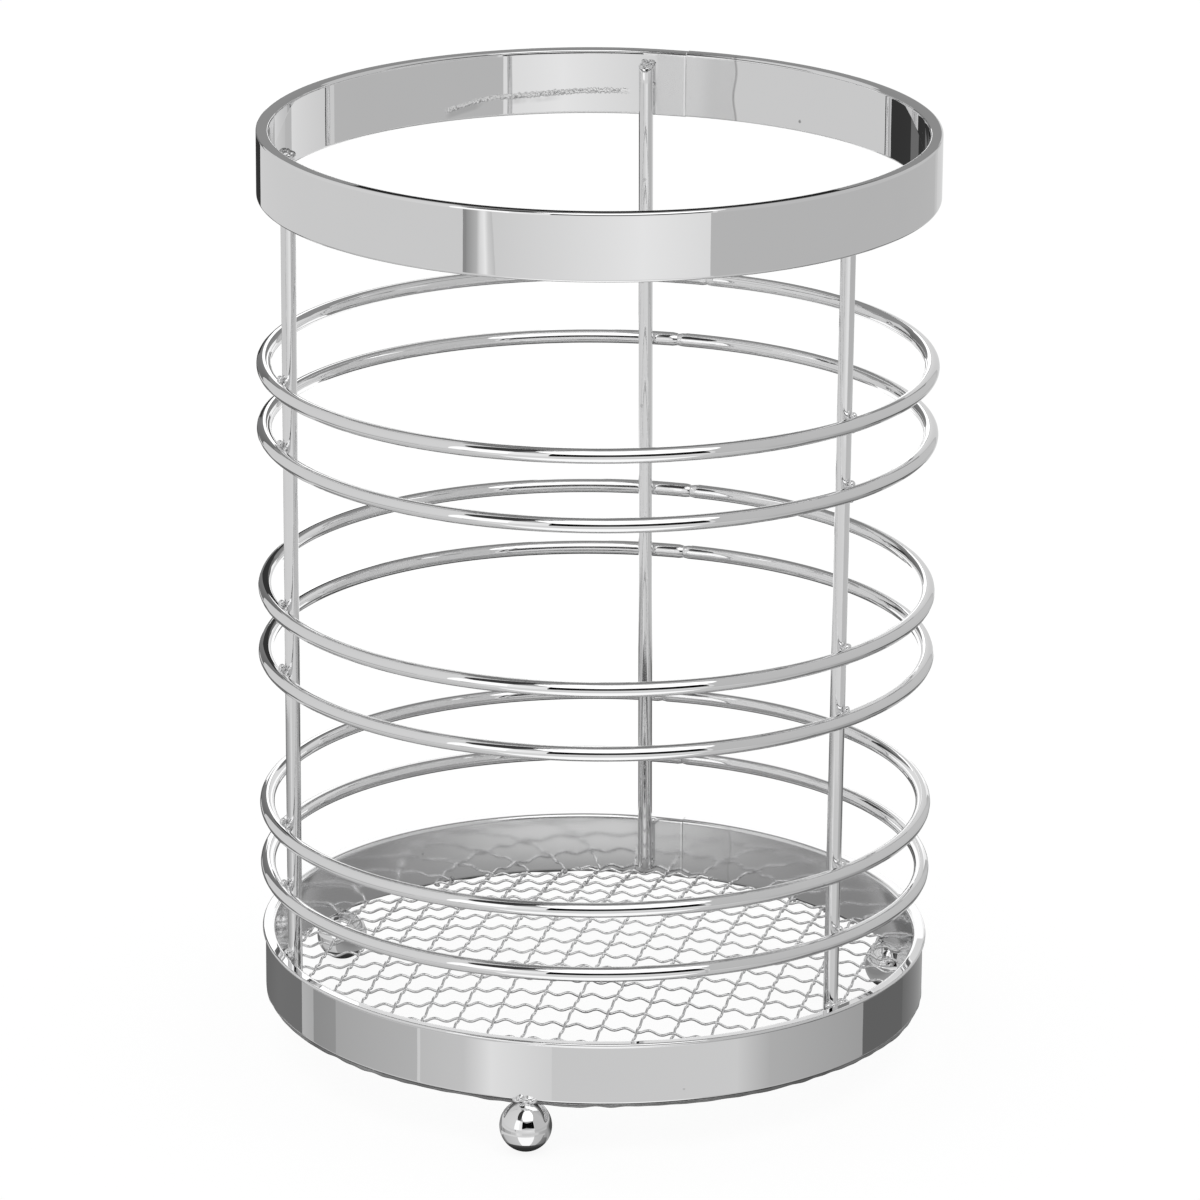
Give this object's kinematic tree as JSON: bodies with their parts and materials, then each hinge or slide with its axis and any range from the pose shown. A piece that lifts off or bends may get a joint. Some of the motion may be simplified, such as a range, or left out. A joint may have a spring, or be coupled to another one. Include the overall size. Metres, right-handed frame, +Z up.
{
  "type": "cutlery holder",
  "caption": "Round open cutlery holder of chrome-plated steel: strip bands at mouth and foot, paired wire rings, upright wires, a domed woven wire floor and ball feet.",
  "frame": {"origin": "on the common axis of the bands and rings, at the plane the feet stand on", "axes": "+Z up along the hoops' axis, -Y towards the side that the picture shows in front, +X to its right"},
  "size_m": [0.1156, 0.1176, 0.162],
  "materials": {
    "band_chrome": "mirror plate on rolled flat strip, faint waviness",
    "ring_chrome": "mirror plate on drawn wire",
    "upright_chrome": "mirror plate on drawn wire, slightly duller at the welds",
    "foot_chrome": "mirror plate on a steel ball",
    "floor_mesh": "plated crimped wire, bright at the crowns and dull at the crossings"
  },
  "bodies": {
    "root": {"floor_warp_left_1": "floor_mesh", "floor_warp_left_2": "floor_mesh", "floor_warp_left_3": "floor_mesh", "floor_warp_left_4": "floor_mesh", "floor_warp_left_5": "floor_mesh", "floor_warp_left_6": "floor_mesh", "floor_warp_left_7": "floor_mesh", "floor_warp_left_8": "floor_mesh", "floor_warp_left_9": "floor_mesh", "floor_warp_middle": "floor_mesh", "floor_warp_right_1": "floor_mesh", "floor_warp_right_2": "floor_mesh", "floor_warp_right_3": "floor_mesh", "floor_warp_right_4": "floor_mesh", "floor_warp_right_5": "floor_mesh", "floor_warp_right_6": "floor_mesh", "floor_warp_right_7": "floor_mesh", "floor_warp_right_8": "floor_mesh", "floor_weft_front_1": "floor_mesh", "floor_weft_front_2": "floor_mesh", "floor_weft_front_3": "floor_mesh", "floor_weft_front_4": "floor_mesh", "floor_weft_front_5": "floor_mesh", "floor_weft_front_6": "floor_mesh", "floor_weft_front_7": "floor_mesh", "floor_weft_front_8": "floor_mesh", "floor_weft_front_9": "floor_mesh", "floor_weft_middle": "floor_mesh", "floor_weft_rear_1": "floor_mesh", "floor_weft_rear_2": "floor_mesh", "floor_weft_rear_3": "floor_mesh", "floor_weft_rear_4": "floor_mesh", "floor_weft_rear_5": "floor_mesh", "floor_weft_rear_6": "floor_mesh", "floor_weft_rear_7": "floor_mesh", "floor_weft_rear_8": "floor_mesh", "floor_weft_rear_9": "floor_mesh", "foot_front": "foot_chrome", "foot_rear_left": "foot_chrome", "foot_rear_right": "foot_chrome", "lower_band": "band_chrome", "ring_1": "ring_chrome", "ring_2": "ring_chrome", "ring_3": "ring_chrome", "ring_4": "ring_chrome", "ring_5": "ring_chrome", "ring_6": "ring_chrome", "upper_band": "band_chrome", "upright_back": "upright_chrome", "upright_left": "upright_chrome", "upright_right": "upright_chrome"}
  },
  "joints": []
}
